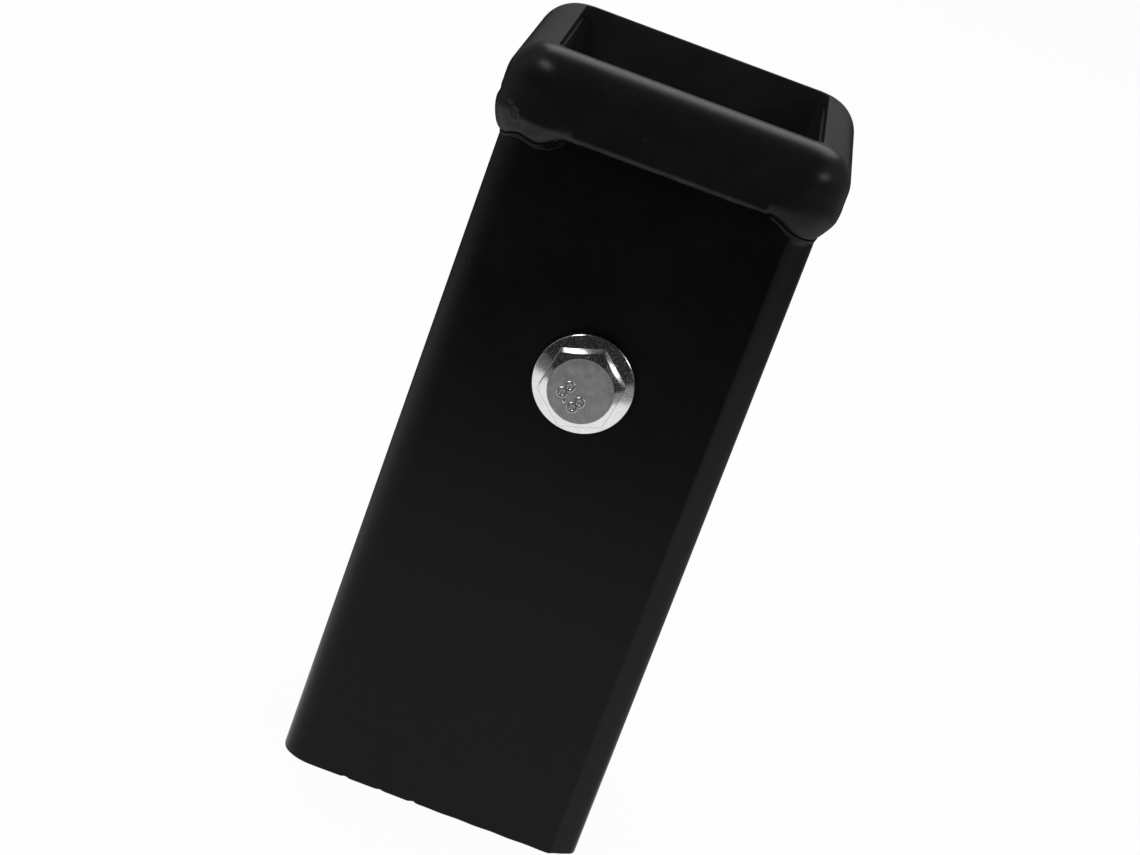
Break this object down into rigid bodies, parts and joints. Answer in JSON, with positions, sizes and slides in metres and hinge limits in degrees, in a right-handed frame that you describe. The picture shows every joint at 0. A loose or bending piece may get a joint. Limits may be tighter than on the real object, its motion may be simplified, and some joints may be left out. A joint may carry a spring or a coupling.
{
  "type": "weld-on receiver tube",
  "caption": "Square steel receiver tube to weld on, with a rounded mouth collar welded at its corners, a flange bolt through its sides and a flange nut.",
  "frame": {"origin": "middle of the bounding box, in the plane of the tube's sawn end; the bolt reaches 4.5 mm further at the back than at the front of the tube, so the tube's own axis is the line x = 0, y = -2.25 mm", "axes": "+Z along the tube and out of its mouth, -Y towards the bolt's head, +X across the tube"},
  "size_m": [0.0695, 0.0814, 0.1553],
  "materials": {
    "black_powder_coat": "satin black powder coat",
    "bright_zinc": "bright zinc plating on steel"
  },
  "bodies": {
    "root": {"receiver_tube": "black_powder_coat", "mouth_collar": "black_powder_coat", "weld_bead_back_right": "black_powder_coat", "weld_bead_back_left": "black_powder_coat", "weld_bead_front_left": "black_powder_coat", "weld_bead_front_right": "black_powder_coat", "flange_bolt": "bright_zinc", "flange_nut": "bright_zinc"}
  },
  "joints": []
}
